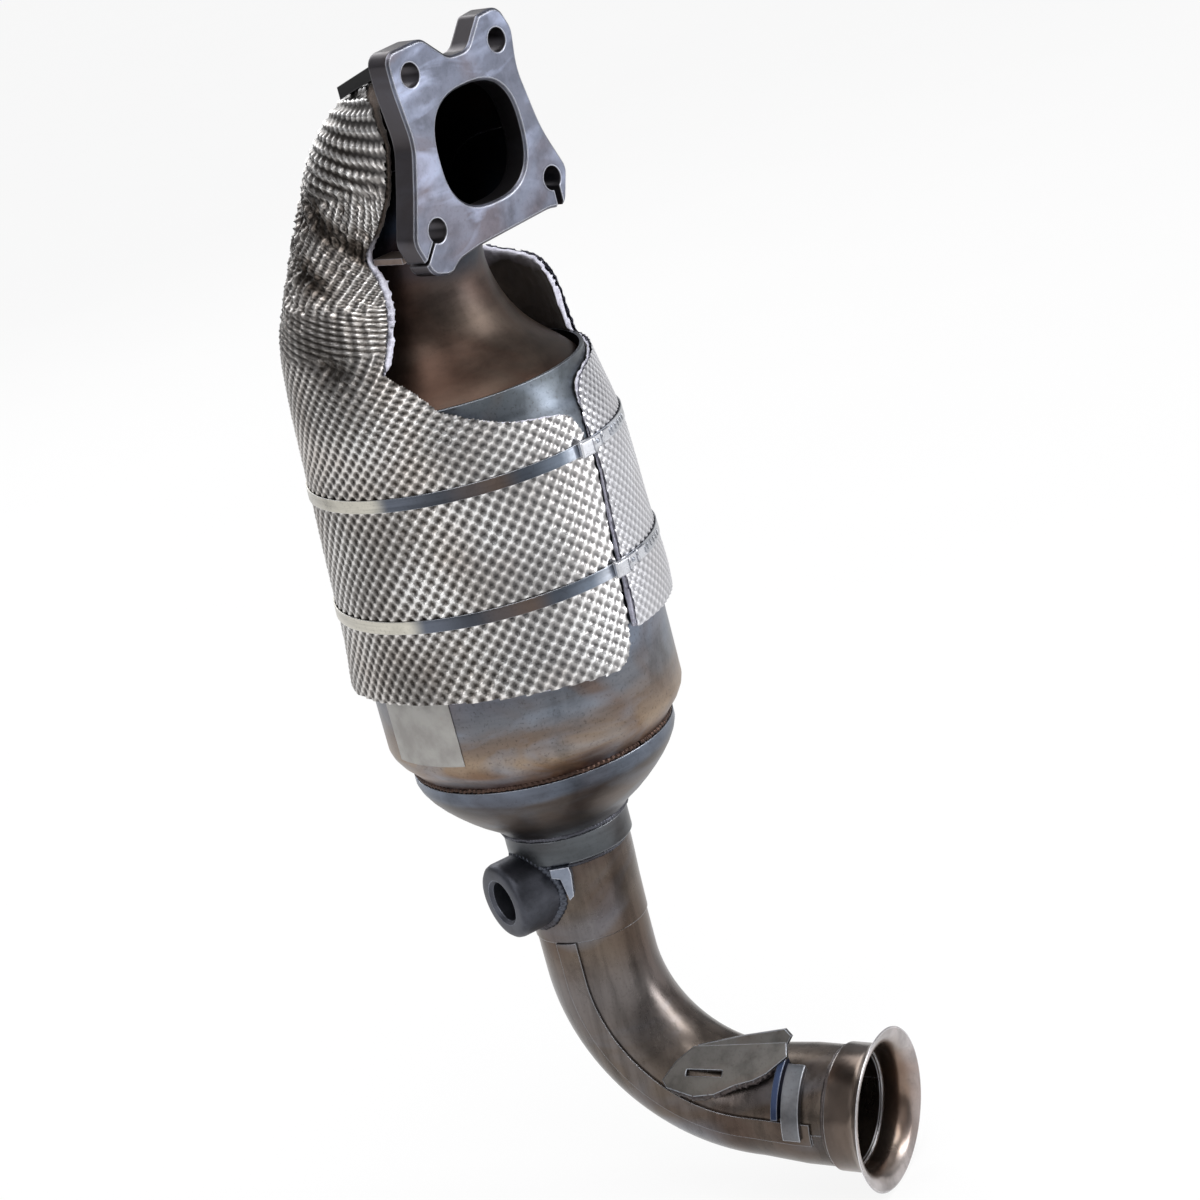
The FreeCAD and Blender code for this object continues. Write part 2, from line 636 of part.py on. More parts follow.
def buckle(z):
    """Ball-lock head with the cut tail of the band lying past it."""
    r = 62.3 + 0.046 * (STRAP_UPPER_Z - z) + STRAP_T
    head = Part.makeBox(8.0, 2.5, 6.4, V(-4.0, CAN_Y - r - 2.65, z - 3.2))
    head = head.makeChamfer(0.6, head.Edges)
    head.rotate(V(0, CAN_Y, 0), V(0, 0, 1), 1)
    tail = turned([(r + 0.1, z - 2.1), (r + 0.8, z - 2.1), (r + 0.8, z + 2.1), (r + 0.1, z + 2.1)], start=3, sweep=14)
    return head.fuse(tail)


def shield_clip():
    """Small strip from the left blanket's edge to the elbow."""
    strip = Part.makeBox(10.0, 15.2, 2.4, V(-34.0, 21.0, -34.6))
    return biggest(strip.cut(fan_solid(ELBOW_FAN, 0.0)))


def shield_top_bracket(outside):
    """Dark folded strip along the crown of the hood."""
    points = [V(-20, 22, 37.5), V(-20, 46, 29.8), V(-20, 46, 25.0), V(-20, 22, 32.7)]
    return biggest(prism(points, V(6, 0, 0)).cut(outside))

def main():
    os.makedirs("parts", exist_ok=True)
    foil, fibre, outside = shield_layers(SHIELD_FAN)
    right_foil, right_fibre, _ = shield_layers(RIGHT_FAN)
    nodes = {
        "inlet_flange": inlet_flange(),
        "inlet_front_shell": inlet_front_shell(),
        "inlet_rear_shell": inlet_rear_shell(),
        "can_shell": can_shell(),
        "catalyst_brick_upper": brick(BRICK_UPPER),
        "catalyst_brick_lower": brick(BRICK_LOWER),
        "support_mat_upper": support_mat(BRICK_UPPER),
        "support_mat_lower": support_mat(BRICK_LOWER),
        "outlet_cone": outlet_cone(),
        "neck_collar": neck_collar(),
        "downpipe_neck": downpipe_neck(),
        "sensor_boss": sensor_boss(),
        "boss_gusset": boss_gusset(),
        "elbow_inner_shell": elbow_inner_shell(),
        "elbow_outer_shell": elbow_outer_shell(),
        "outlet_flare": outlet_flare(),
        "bracket_plate": bracket_plate(),
        "bracket_leg": bracket_leg(),
        "bracket_tab": bracket_tab(),
        "shield_left_foil": left_keep(foil),
        "shield_left_fibre": left_keep(fibre),
        "shield_right_foil": right_keep(right_foil),
        "shield_right_fibre": right_keep(right_fibre),
        "upper_strap": strap(STRAP_UPPER_Z, outside),
        "lower_strap": strap(STRAP_LOWER_Z, outside),
        "upper_strap_buckle": buckle(STRAP_UPPER_Z),
        "lower_strap_buckle": buckle(STRAP_LOWER_Z),
        "shield_clip": shield_clip(),
        "shield_top_bracket": shield_top_bracket(outside),
    }
    for name, shape in nodes.items():
        shape.exportStep("parts/" + name + ".step")
        print(name, round(shape.Volume), len(shape.Solids), shape.isValid())


main()
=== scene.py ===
import math
import bmesh
import bpy
import numpy as np
from mathutils import Matrix, Vector, noise
from mathutils.bvhtree import BVHTree


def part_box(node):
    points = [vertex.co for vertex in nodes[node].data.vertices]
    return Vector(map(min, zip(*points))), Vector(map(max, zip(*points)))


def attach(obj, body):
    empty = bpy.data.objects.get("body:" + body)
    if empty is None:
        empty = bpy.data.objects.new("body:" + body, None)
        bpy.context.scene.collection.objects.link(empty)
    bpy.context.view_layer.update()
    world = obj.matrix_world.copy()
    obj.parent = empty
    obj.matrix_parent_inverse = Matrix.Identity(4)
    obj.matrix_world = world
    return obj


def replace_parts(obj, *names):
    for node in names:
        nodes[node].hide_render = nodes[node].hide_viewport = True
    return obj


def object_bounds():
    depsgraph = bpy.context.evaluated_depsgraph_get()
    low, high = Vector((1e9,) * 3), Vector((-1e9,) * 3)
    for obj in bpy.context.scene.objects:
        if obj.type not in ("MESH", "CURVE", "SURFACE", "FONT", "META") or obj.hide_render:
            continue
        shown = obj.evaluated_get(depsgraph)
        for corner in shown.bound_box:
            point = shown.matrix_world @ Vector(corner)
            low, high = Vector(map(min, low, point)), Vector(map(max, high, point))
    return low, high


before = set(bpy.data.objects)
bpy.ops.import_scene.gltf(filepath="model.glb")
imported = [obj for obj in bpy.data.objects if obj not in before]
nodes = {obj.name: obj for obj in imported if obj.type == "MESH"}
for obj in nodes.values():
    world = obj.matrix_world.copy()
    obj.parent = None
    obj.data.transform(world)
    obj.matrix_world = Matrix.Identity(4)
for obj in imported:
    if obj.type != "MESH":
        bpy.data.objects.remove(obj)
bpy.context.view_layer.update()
scene = bpy.context.scene
MM = 0.001
CAN_Y = 0.052                          # the can's axis is upright, at x = 0 and this y
PIPE_POINT = Vector((15.07, -6.48, -404.2)) * MM    # on the axis of the outlet run
OUTLET = (0.2487, -0.9650, -0.0838)    # along that axis, out of the outlet
ACROSS_FRONT = (0.719, -0.695, 0.0)    # level, from the straps' bright left stretch to their heads
UP = Vector((0, 0, 1))


# ---------------------------------------------------------------- materials

class Graph:
    """Adds linked nodes to the node tree of one material or world."""

    def __init__(self, owner, output="ShaderNodeOutputMaterial"):
        owner.use_nodes = True
        self.owner = owner
        self.tree = owner.node_tree
        self.tree.nodes.clear()
        self.surface = self.tree.nodes.new(output).inputs["Surface"]

    def put(self, socket, value):
        if isinstance(value, bpy.types.NodeSocket):
            self.tree.links.new(value, socket)
        elif isinstance(value, (tuple, list)) and len(value) == 3 and socket.type == "RGBA":
            socket.default_value = (*value, 1.0)
        else:
            socket.default_value = value

    def node(self, kind, props=None, **inputs):
        """A node; inputs go by socket name with _ for a space, or by number as i0, i1, i2."""
        n = self.tree.nodes.new("ShaderNode" + kind)
        for key, value in (props or {}).items():
            setattr(n, key, value)
        for key, value in inputs.items():
            self.put(n.inputs[int(key[1:]) if key[1:].isdigit() else key.replace("_", " ")], value)
        return n

    def math(self, op, a, b):
        return self.node("Math", {"operation": op}, i0=a, i1=b).outputs[0]

    def jitter(self, value, field, amount):
        """value + field * amount"""
        return self.math("ADD", value, self.math("MULTIPLY", field, amount))

    def dot(self, a, b):
        return self.node("VectorMath", {"operation": "DOT_PRODUCT"}, i0=a, i1=b).outputs["Value"]

    def mix(self, factor, a, b, blend="MIX"):
        n = self.node("Mix", {"data_type": "RGBA", "blend_type": blend})
        for socket, value in ((0, factor), (6, a), (7, b)):
            self.put(n.inputs[socket], value)
        return n.outputs[2]

    def tint(self, base, field, amount, colour, blend="MIX"):
        """Lays a colour over the base where the field is high."""
        return self.mix(self.math("MULTIPLY", field, amount), base, colour, blend)

    def place(self, scale=(1, 1, 1)):
        at = self.node("TexCoord").outputs["Object"]
        return self.node("Mapping", None, Vector=at, Scale=scale).outputs[0]

    def noise(self, vector, scale, detail=4.0, rough=0.55, warp=0.0):
        return self.node("TexNoise", None, Vector=vector, Scale=scale, Detail=detail,
                         Roughness=rough, Distortion=warp).outputs["Fac"]

    def ramp(self, factor, stops, interpolation="EASE"):
        """Colour ramp; each stop is a place and a linear colour or grey level."""
        n = self.node("ValToRGB", None, Fac=factor)
        elements = n.color_ramp.elements
        n.color_ramp.interpolation = interpolation
        while len(elements) < len(stops):
            elements.new(0.5)
        for e, (at, colour) in zip(elements, stops):
            e.position = at
            e.color = (*(colour if isinstance(colour, tuple) else (colour,) * 3), 1.0)
        return n.outputs[0]

    def level(self, factor, low, high, out_low=0.0, out_high=1.0):
        return self.node("MapRange", None, Value=factor, From_Min=low, From_Max=high,
                         To_Min=out_low, To_Max=out_high).outputs[0]

    def bump(self, height, strength, distance, **normal):
        """Bump normal; distance is in mm."""
        return self.node("Bump", None, Strength=strength, Distance=distance * MM, Height=height,
                         **normal).outputs[0]

    def close(self, **inputs):
        """Ends the material in a Principled shader and returns the material."""
        shader = self.node("BsdfPrincipled", None, **inputs)
        self.put(self.surface, shader.outputs[0])
        return self.owner


def new_material(name):
    return Graph(bpy.data.materials.new(name))


def rgb(r, g, b):
    """Display colour 0-255 to linear."""
    def one(v):
        v /= 255.0
        return v / 12.92 if v <= 0.04045 else ((v + 0.055) / 1.055) ** 2.4
    return (one(r), one(g), one(b))


def scaled(colour, factor):
    return tuple(factor * v for v in colour)


def steel(name, zones, axis=(0, 0, 1), wobble=3.0, mottle=0.35, grain=0.2, rough=0.36, streak=(1, 1, 1),
          edge=(200, 205, 215), edge_gain=0.6, bump=0.25, bevel=0.7, tints=(), pits=0.3, clean_lit_side=None):
    """Heat-worked steel: zones of colour along an axis (mm), mottled, streaked, with edges lightened
    as rubbed wear and as a painted highlight.

    A tint is a colour, its strength and the scale of its patches. Given a side that stays clean
    and lit, faces that don't look that way are darkened as grime and soot and as painted shade."""
    g = new_material(name)
    at = g.place()
    cloud = g.noise(at, 38.0, 5.0, 0.6, 0.4)
    shift = g.math("MULTIPLY", g.math("SUBTRACT", g.noise(at, 24.0, 3.0), 0.5), wobble * 4 * MM)
    first, last = zones[0][0], zones[-1][0]
    fac = g.level(g.math("ADD", g.dot(at, axis), shift), first * MM, last * MM)
    base = g.ramp(fac, [((z - first) / (last - first), rgb(*c)) for z, c in zones])
    for k, (shade, amount, size) in enumerate(tints):
        patch = g.level(g.noise(g.place((1, 1, 1.3 + k)), size, 3.0, 0.5, 1.0), 0.48, 0.66)
        base = g.tint(base, patch, amount, rgb(*shade))
    base = g.mix(1.0, base, g.ramp(cloud, [(0.25, 1.0 - mottle), (0.52, 1.0)]), "MULTIPLY")
    lines = g.noise(g.place(streak), 90.0, 4.0, 0.65)
    base = g.mix(1.0, base, g.ramp(lines, [(0.3, 1.0 - grain), (0.6, 1.0)]), "MULTIPLY")
    speck = g.level(g.noise(at, 900.0, 2.0, 0.6), 0.56, 0.78)
    base = g.tint(base, speck, pits, rgb(44, 38, 34))
    rounded = g.node("Bevel", {"samples": 6}, Radius=bevel * MM).outputs[0]
    flat = g.node("NewGeometry").outputs["Normal"]
    # edges lightened in the edge colour: rubbed wear plus a painted highlight along every edge
    rubbed_and_highlit_edges = g.level(g.jitter(g.dot(rounded, flat), cloud, 0.05), 1.005, 0.93)
    base = g.tint(base, rubbed_and_highlit_edges, edge_gain, rgb(*edge))
    if clean_lit_side:
        # faces turned off the clean, lit side are darkened: grime and soot, and painted shade
        grime_and_painted_shade = g.level(g.jitter(g.dot(flat, clean_lit_side), cloud, 0.3), 0.95, 0.62)
        base = g.tint(base, grime_and_painted_shade, 0.88, rgb(72, 68, 70))
    polish = g.jitter(g.jitter(rough - 0.10, cloud, 0.14), lines, 0.10)
    height = g.math("ADD", g.math("MULTIPLY", lines, 0.6), g.math("MULTIPLY", g.noise(at, 420.0, 3.0), 0.5))
    return g.close(Base_Color=base, Metallic=0.92, Roughness=polish,
                   Normal=g.bump(height, bump, 0.35, Normal=rounded))


def ceramic(name, colour):
    """Matt sooty ceramic of the catalyst bricks."""
    g = new_material(name)
    at = g.place()
    base = g.ramp(g.noise(at, 160.0, 5.0, 0.6), [(0.3, rgb(*colour)), (0.8, scaled(rgb(*colour), 2.2))])
    return g.close(Base_Color=base, Roughness=0.85, Normal=g.bump(g.noise(at, 700.0, 3.0), 0.4, 0.4))


def foil_material(name, low, high, brown):
    """Embossed aluminium: ridges painted bright as highlight over pits painted dark as shade, from the
    relief and soiling stored on the mesh; painted darker to one side and lighter to the other.
    """
    g = new_material(name)
    at = g.place()
    relief = g.node("Attribute", {"attribute_name": "relief"}).outputs["Fac"]
    soil = g.node("Attribute", {"attribute_name": "soil"}).outputs["Fac"]
    blot = g.noise(at, 26.0, 4.0, 0.6)
    fine = g.noise(at, 1200.0, 3.0, 0.65)
    # the relief sets the colour: high ridges take a painted highlight, low pits painted shade
    relief_as_light = g.jitter(relief, g.math("SUBTRACT", fine, 0.5), 0.4)
    middle = [a * 0.55 + b * 0.45 for a, b in zip(low, high)]
    base = g.ramp(g.level(relief_as_light, 0.0, 0.95), [(0.0, rgb(*low)), (0.42, rgb(*middle)), (0.8, rgb(*high))])
    base = g.tint(base, g.level(blot, 0.45, 0.72), 0.5, rgb(*brown), "MULTIPLY")
    base = g.tint(base, soil, 0.75, rgb(150, 136, 124), "MULTIPLY")
    # darker to the left, as dust and as painted shade; lighter towards the straps' heads, as painted light
    side = g.jitter(g.dot(at, ACROSS_FRONT), blot, 0.02)
    base = g.tint(base, g.level(side, -0.025, -0.085), 0.6, rgb(196, 192, 188), "MULTIPLY")
    base = g.tint(base, g.level(side, -0.04, 0.03), 0.3, rgb(236, 236, 240))
    return g.close(Base_Color=base, Metallic=1.0, Roughness=g.jitter(0.20, blot, 0.16),
                   Normal=g.bump(g.noise(at, 700.0, 3.0), 0.3, 0.2))


def fibre_material(name, pale, shade, burnt, flange_line, inner_line):
    """Ceramic fibre felt: pale cut edges, scorched above one level (mm) near the hot flange, and on
    the side that faces the can away from the other level (mm)."""
    g = new_material(name)
    drawn = g.place((1, 1, 3))
    at = g.place()
    base = g.ramp(g.noise(drawn, 220.0, 6.0, 0.7), [(0.3, rgb(*shade)), (0.6, rgb(*pale))])
    height = g.jitter(g.dot(at, (0, 0, 1)), g.math("SUBTRACT", g.noise(at, 60.0, 3.0), 0.5), 0.012)
    hot = g.level(height, flange_line * MM, (flange_line + 12) * MM)
    out = g.node("VectorMath", {"operation": "SUBTRACT"}, i0=at, i1=(0, CAN_Y, 0)).outputs[0]
    out = g.node("VectorMath", {"operation": "MULTIPLY"}, i0=out, i1=(1, 1, 0)).outputs[0]
    out = g.node("VectorMath", {"operation": "NORMALIZE"}, i0=out).outputs[0]
    radial = g.dot(out, g.node("NewGeometry").outputs["Normal"])
    deep = g.math("MAXIMUM", g.level(height, (inner_line + 4) * MM, (inner_line - 4) * MM),
                  g.level(height, (inner_line + 5) * MM, (inner_line + 9) * MM))
    inside = g.math("MULTIPLY", g.level(radial, -0.3, -0.6), deep)
    brown = g.ramp(g.noise(at, 90.0, 5.0, 0.6), [(0.3, scaled(rgb(*burnt), 0.6)), (0.7, rgb(*burnt))])
    base = g.mix(g.math("MAXIMUM", hot, inside), base, brown)
    grime = g.level(g.noise(at, 45.0, 3.0), 0.6, 0.85)
    base = g.tint(base, grime, 0.35, rgb(120, 112, 104))
    return g.close(Base_Color=base, Roughness=0.9, Sheen_Weight=0.25,
                   Normal=g.bump(g.noise(drawn, 900.0, 5.0, 0.7), 0.6, 0.5))


def paper_material(name):
    """Bare heat-proof label, slightly soiled."""
    g = new_material(name)
    at = g.place()
    base = g.ramp(g.noise(at, 60.0, 5.0, 0.6), [(0.3, rgb(142, 139, 135)), (0.6, rgb(166, 164, 160))])
    stain = g.level(g.noise(at, 240.0, 3.0), 0.62, 0.8)
    base = g.tint(base, stain, 0.4, rgb(140, 128, 116))
    return g.close(Base_Color=base, Roughness=0.55, Normal=g.bump(g.noise(at, 130.0, 4.0), 0.3, 0.3))


# zones are (place along the axis in mm, colour)
STEELS = {
    "flange": dict(
        zones=[(-45, (92, 94, 106)), (-20, (102, 106, 120)), (5, (90, 93, 105)), (45, (84, 88, 101))],
        # the pale edge colour is rubbed wear and a strong painted highlight
        mottle=0.45, grain=0.3, rough=0.32, edge=(232, 236, 248), edge_gain=0.9, streak=(1, 0.2, 1),
        # faces turned off the front, the sides and the port bore, are darkened as grime and soot and as
        # painted shade
        bevel=1.1, clean_lit_side=(0, -1, 0), tints=(((88, 80, 84), 0.7, 22.0), ((138, 145, 166), 0.7, 28.0))),
    "inlet": dict(
        # the darkest zones, at the top by the flange, are painted shade where the runner lies under the
        # flange and the hood
        zones=[(-100, (52, 44, 40)), (-92, (66, 50, 42)), (-84, (78, 66, 58)), (-66, (96, 84, 76)),
               (-50, (80, 70, 66)), (-41, (58, 62, 70)), (-28, (58, 68, 86)), (-14, (40, 42, 50)),
               (20, (34, 32, 34))],
        mottle=0.4, grain=0.3, rough=0.40, edge_gain=0.35, streak=(0.3, 0.3, 1),
        tints=(((78, 54, 44), 0.6, 15.0),)),
    "can": dict(
        zones=[(-246, (52, 40, 36)), (-240, (76, 52, 42)), (-235, (116, 90, 70)), (-228, (150, 132, 114)),
               (-220, (122, 108, 98)), (-211, (112, 114, 120)), (-198, (116, 124, 138)),
               (-108, (98, 104, 112)), (-88, (94, 100, 106))],
        mottle=0.5, grain=0.3, rough=0.36, edge_gain=0.4, streak=(0.12, 0.12, 1), wobble=4.5, pits=0.5,
        bump=0.4, tints=(((108, 82, 62), 0.6, 15.0), ((136, 146, 160), 0.5, 20.0))),
    "cone": dict(
        zones=[(-288, (100, 104, 108)), (-275, (104, 108, 112)), (-270, (72, 66, 64)), (-258, (92, 80, 72)),
               (-250, (78, 70, 66)), (-246.5, (100, 106, 118)), (-241, (112, 120, 134))],
        mottle=0.45, grain=0.35, rough=0.36, edge_gain=0.6, streak=(0.15, 0.15, 1), wobble=1.6,
        tints=(((56, 44, 40), 0.6, 18.0), ((110, 118, 130), 0.45, 20.0))),
    "pipe": dict(
        zones=[(-430, (94, 84, 76)), (-385, (104, 94, 86)), (-345, (116, 110, 108)), (-325, (110, 98, 88)),
               (-300, (104, 94, 86)), (-276, (80, 74, 74))],
        mottle=0.42, grain=0.45, rough=0.26, edge_gain=0.4, streak=(1, 1, 0.1),
        tints=(((74, 56, 48), 0.6, 15.0), ((132, 138, 150), 0.5, 12.0))),
    "boss": dict(
        zones=[(-320, (70, 70, 76)), (-300, (84, 86, 94)), (-280, (78, 80, 88))],
        mottle=0.4, grain=0.3, rough=0.42, edge=(176, 182, 196)),
    "gusset": dict(
        zones=[(-320, (150, 156, 168)), (-280, (136, 144, 160))],
        rough=0.3, edge=(226, 230, 240), edge_gain=0.8),
    "flare": dict(
        zones=[(77, (92, 82, 76)), (88, (104, 92, 84)), (91.5, (140, 126, 116)), (96.5, (188, 182, 182))],
        axis=OUTLET, wobble=1.0, grain=0.3, rough=0.22, edge=(240, 240, 244), edge_gain=0.9,
        streak=(1, 1, 0.2), tints=(((132, 92, 66), 0.45, 15.0),)),
    "bracket": dict(
        zones=[(-450, (90, 82, 76)), (-400, (100, 96, 90)), (-370, (98, 96, 94))],
        mottle=0.4, grain=0.35, edge=(190, 196, 208), edge_gain=0.7, tints=(((84, 68, 60), 0.6, 15.0),)),
    "tab": dict(
        zones=[(-450, (108, 110, 114)), (-370, (122, 126, 132))],
        grain=0.3, rough=0.34, edge=(220, 224, 232), edge_gain=0.7, tints=(((104, 90, 82), 0.4, 15.0),)),
    "fin": dict(
        zones=[(-450, (44, 52, 74)), (-380, (60, 72, 100))], mottle=0.3, rough=0.4, edge_gain=0.4),
    "strap": dict(
        zones=[(-106, (196, 192, 182)), (-74, (214, 210, 198)), (-66, (100, 106, 118)), (-48, (74, 78, 86)),
               (-36, (90, 84, 84)), (-26, (98, 86, 80)), (-16, (76, 82, 92)), (-2, (112, 122, 136)),
               (8, (196, 202, 214)), (30, (188, 190, 194))],
        axis=ACROSS_FRONT, wobble=2.0, grain=0.4, rough=0.28, streak=(0.1, 0.1, 3), edge=(226, 230, 238),
        bevel=0.3),
    "buckle": dict(
        zones=[(-200, (206, 208, 214)), (-100, (212, 214, 220))],
        mottle=0.25, rough=0.25, edge=(244, 244, 248), edge_gain=0.8, bevel=0.5),
    "clip": dict(
        zones=[(-40, (120, 104, 98)), (-30, (136, 122, 114))], mottle=0.3, rough=0.4, edge_gain=0.4),
    # near black: painted shade, as the strip this bracket fills lies in shade behind the flange
    "hanger_painted_shade": dict(
        zones=[(0, (40, 40, 42)), (60, (60, 60, 60))], mottle=0.4, rough=0.5, edge=(120, 120, 124)),
    "weld": dict(
        zones=[(-450, (92, 82, 76)), (-285, (84, 88, 98)), (-243, (84, 66, 58)), (-200, (78, 84, 98)),
               (40, (56, 62, 76))],
        mottle=0.4, grain=0.3, edge=(160, 164, 176), edge_gain=0.5, tints=(((60, 46, 40), 0.6, 15.0),)),
}
MAT = {look: steel(look + "_metal", **facts) for look, facts in STEELS.items()}
MAT["brick"] = ceramic("brick_ceramic_look", (90, 84, 76))
# foil colours: the pit colour is painted shade, the ridge colour painted highlight, then brown soiling
MAT["foil_left"] = foil_material("foil_left_look", (62, 58, 55), (255, 255, 255), (206, 190, 176))
MAT["foil_right"] = foil_material("foil_right_look", (106, 106, 112), (232, 233, 238), (216, 209, 202))
MAT["fibre"] = fibre_material("fibre_look", (232, 232, 246), (190, 188, 204), (84, 72, 64), -34, -58)
MAT["paper"] = paper_material("sticker_look")

NODE_LOOK = {
    "inlet_flange": "flange", "inlet_front_shell": "inlet", "inlet_rear_shell": "inlet", "can_shell": "can",
    "catalyst_brick_upper": "brick", "catalyst_brick_lower": "brick", "support_mat_upper": "fibre",
    "support_mat_lower": "fibre", "outlet_cone": "cone", "neck_collar": "cone", "downpipe_neck": "pipe",
    "sensor_boss": "boss", "boss_gusset": "gusset", "elbow_inner_shell": "pipe", "elbow_outer_shell": "pipe",
    "outlet_flare": "flare", "bracket_plate": "bracket", "bracket_leg": "fin", "bracket_tab": "tab",
    "upper_strap": "strap", "lower_strap": "strap",
    "upper_strap_buckle": "buckle", "lower_strap_buckle": "buckle",
    "shield_clip": "clip", "shield_top_bracket": "hanger_painted_shade", "shield_left_foil": "foil_left",
    "shield_right_foil": "foil_right", "shield_left_fibre": "fibre", "shield_right_fibre": "fibre",
}
SHARP_ANGLE = math.radians(32)
WELD_DISTANCE = 2e-6


def smoothing():
    """Geometry nodes: welds the imported vertices, smooths faces and keeps sharp edges sharp."""
    group = bpy.data.node_groups.new("smooth_by_angle", "GeometryNodeTree")
    for side in ("INPUT", "OUTPUT"):
        group.interface.new_socket("Geometry", in_out=side, socket_type="NodeSocketGeometry")
    new, link = group.nodes.new, group.links.new
    source, result = new("NodeGroupInput"), new("NodeGroupOutput")
    weld = new("GeometryNodeMergeByDistance")
    weld.inputs["Distance"].default_value = WELD_DISTANCE
    face, edge = new("GeometryNodeSetShadeSmooth"), new("GeometryNodeSetShadeSmooth")
    edge.domain = "EDGE"
    angle = new("GeometryNodeInputMeshEdgeAngle")
    less = new("FunctionNodeCompare")
    less.data_type, less.operation = "FLOAT", "LESS_THAN"
    less.inputs[1].default_value = SHARP_ANGLE
    link(source.outputs[0], weld.inputs["Geometry"])
    link(weld.outputs[0], face.inputs[0])
    link(face.outputs[0], edge.inputs[0])
    link(angle.outputs[0], less.inputs[0])
    link(less.outputs[0], edge.inputs["Shade Smooth"])
    link(edge.outputs[0], result.inputs[0])
    return group


smooth_group = smoothing()
for name, look in NODE_LOOK.items():
    o = nodes[name]
    if not o.material_slots:
        o.data.materials.append(MAT[look])
    for s in o.material_slots:
        s.material = MAT[look]
    o.modifiers.new("smooth", "NODES").node_group = smooth_group


# ---------------------------------------------------------------- geometry helpers

def tree_of(*names):
    points, faces = [], []
    for n in names:
        start = len(points)
        points += [v.co.copy() for v in nodes[n].data.vertices]
        faces += [[start + i for i in p.vertices] for p in nodes[n].data.polygons]
    return BVHTree.FromPolygons(points, faces)


def show(name, mesh):
    """Links a new smooth-shaded piece that rides on the object's one body."""
    mesh.shade_smooth()
    o = bpy.data.objects.new(name, mesh)
    scene.collection.objects.link(o)
    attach(o, "root")
    return o


def piece(name, points, faces, material):
    me = bpy.data.meshes.new(name)
    me.from_pydata([tuple(p) for p in points], [], faces)
    me.materials.append(MAT[material])
    me.validate()
    return show(name, me)


def outward(angle):
    """Level direction from the can's axis: angle 0 is the front, 90 degrees the +X side."""
    return Vector((math.sin(angle), -math.cos(angle), 0))


def ring_path(tree, centre, axis, reach, count, start=0.0, stop=360.0):
    """Points and directions where rays in one plane, thrown at the centre from all round, meet the surface.

    Round an upright axis the angles (degrees) start at the front."""
    centre, axis = Vector(centre), Vector(axis).normalized()
    u = Vector((0, -1, 0)) if abs(axis.z) > 0.9 else axis.orthogonal().normalized()
    w = axis.cross(u)
    found = []
    for i in range(count + 1):
        a = math.radians(start + (stop - start) * i / count)
        d = u * math.cos(a) + w * math.sin(a)
        hit = tree.ray_cast(centre + d * reach, -d, reach)[0]
        if hit is not None:
            found.append((hit, d))
    return found


BEAD_STEP = 0.45 * MM
BEAD_POINTS = 9        # across one section
BEAD_ROOT = 0.25 * MM  # how deep the section's ends sit in the surface


def bead(name, path, width, height, pitch=1.5, seed=1, closed=True):
    """A weld bead: a low rounded ridge with overlapping ripples, laid along points of a surface.

    Width, height and the ripples' pitch are in mm. An open bead tapers at both ends."""
    points, outs = zip(*path)
    lengths = [0.0]
    for a, b in zip(points, points[1:]):
        lengths.append(lengths[-1] + (b - a).length)
    steps = max(12, int(lengths[-1] / BEAD_STEP))
    verts, faces = [], []
    k = 0
    for i in range(steps + 1):
        s = lengths[-1] * i / steps
        while k < len(lengths) - 2 and lengths[k + 1] < s:
            k += 1
        t = (s - lengths[k]) / max(1e-9, lengths[k + 1] - lengths[k])
        p = points[k].lerp(points[k + 1], t)
        out = outs[k].lerp(outs[k + 1], t).normalized()
        run = (points[k + 1] - points[k]).normalized()
        across = run.cross(out).normalized()
        ripple = 0.84 + 0.16 * math.cos(2 * math.pi * s / (pitch * MM))
        wander = noise.noise(Vector((s * 260, seed * 7.1, 0)))
        uneven = 0.92 + 0.16 * noise.noise(Vector((s * 500, seed * 3.3, 5)))
        end = 1.0 if closed else min(1.0, 6.0 * min(i, steps - i) / steps + 0.15)
        half = width * MM * uneven * (0.5 + 0.5 * ripple) * 0.5 * end
        rise = height * MM * ripple * (1 + 0.25 * wander) * end
        for j in range(BEAD_POINTS):
            a = math.pi * j / (BEAD_POINTS - 1)
            side = across * (math.cos(a) * half + wander * 0.35 * MM)
            verts.append(p + side + out * (math.sin(a) * rise - BEAD_ROOT) + run * (0.35 * MM * math.sin(a)))
    for i in range(steps):
        for j in range(BEAD_POINTS - 1):
            a = i * BEAD_POINTS + j
            faces.append((a, a + 1, a + BEAD_POINTS + 1, a + BEAD_POINTS))
    piece(name, verts, faces, "weld")


# ---------------------------------------------------------------- embossed foil

# each row: front point and back point (y, z) of one section, its half width and its squareness, in mm
SHOULDER_L = (((13.0, -54.0), (98.5, -32.0), 48.5, 2.0), ((2.0, -66.0), (107.8, -55.0), 56.8, 2.0),
              ((-5.5, -82.0), (111.4, -76.0), 60.2, 2.0), ((-9.4, -100.0), (113.4, -98.0), 61.6, 2.0))
SHOULDER_R = (((13.0, -54.0), (98.5, -32.0), 50.0, 2.0), ((3.0, -66.0), (107.8, -55.0), 56.0, 2.0),
              ((-3.0, -82.0), (111.4, -76.0), 57.2, 2.0), ((-7.0, -100.0), (113.4, -98.0), 59.6, 2.0))
HOOD = (((8.0, -31.5), (8.0, 33.5), 31.0, 3.2), ((13.0, -35.0), (30.0, 33.0), 31.5, 3.1),
        ((17.0, -41.0), (56.5, 24.0), 34.0, 2.6), ((18.0, -48.0), (83.0, -3.0), 40.5, 2.2))
